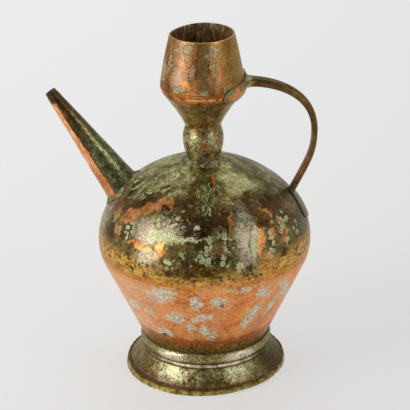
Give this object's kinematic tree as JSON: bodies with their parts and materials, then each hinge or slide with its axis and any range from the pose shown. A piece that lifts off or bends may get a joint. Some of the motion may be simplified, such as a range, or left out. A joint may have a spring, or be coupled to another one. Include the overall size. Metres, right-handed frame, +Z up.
{
  "type": "ewer",
  "caption": "Tall copper ewer with a domed body, spreading foot, bulbed neck, flaring cup mouth, straight rising spout and bowed strap handle.",
  "frame": {"origin": "on the ground under the middle of the whole outline, spout and handle included", "axes": "+Z up through the mouth, +X towards the handle's bow, -X towards the spout"},
  "size_m": [0.2542, 0.2032, 0.3378],
  "materials": {
    "foot_tinned_copper": "worn tin over copper, olive and mottled",
    "binding_brass": "hammered brass strip, dull yellow",
    "bowl_copper": "bright rubbed copper with grey tin patches",
    "shoulder_patina": "dark olive patina with green veins and worn tin",
    "spout_patina": "brown-green patina, copper showing on the underside",
    "flange_solder": "tarnished tin solder",
    "neck_tinned_copper": "tarnished tin over copper",
    "funnel_patina": "brown-olive patina",
    "collar_copper": "golden-brown copper with grey-green spots",
    "handle_patina": "forged copper, brown patina"
  },
  "bodies": {
    "root": {"foot_ring": "foot_tinned_copper", "foot_binding": "binding_brass", "body_bowl": "bowl_copper", "body_shoulder": "shoulder_patina", "spout": "spout_patina", "spout_flange": "flange_solder", "neck_bulb": "neck_tinned_copper", "mouth_funnel": "funnel_patina", "mouth_collar": "collar_copper", "handle": "handle_patina"}
  },
  "joints": []
}
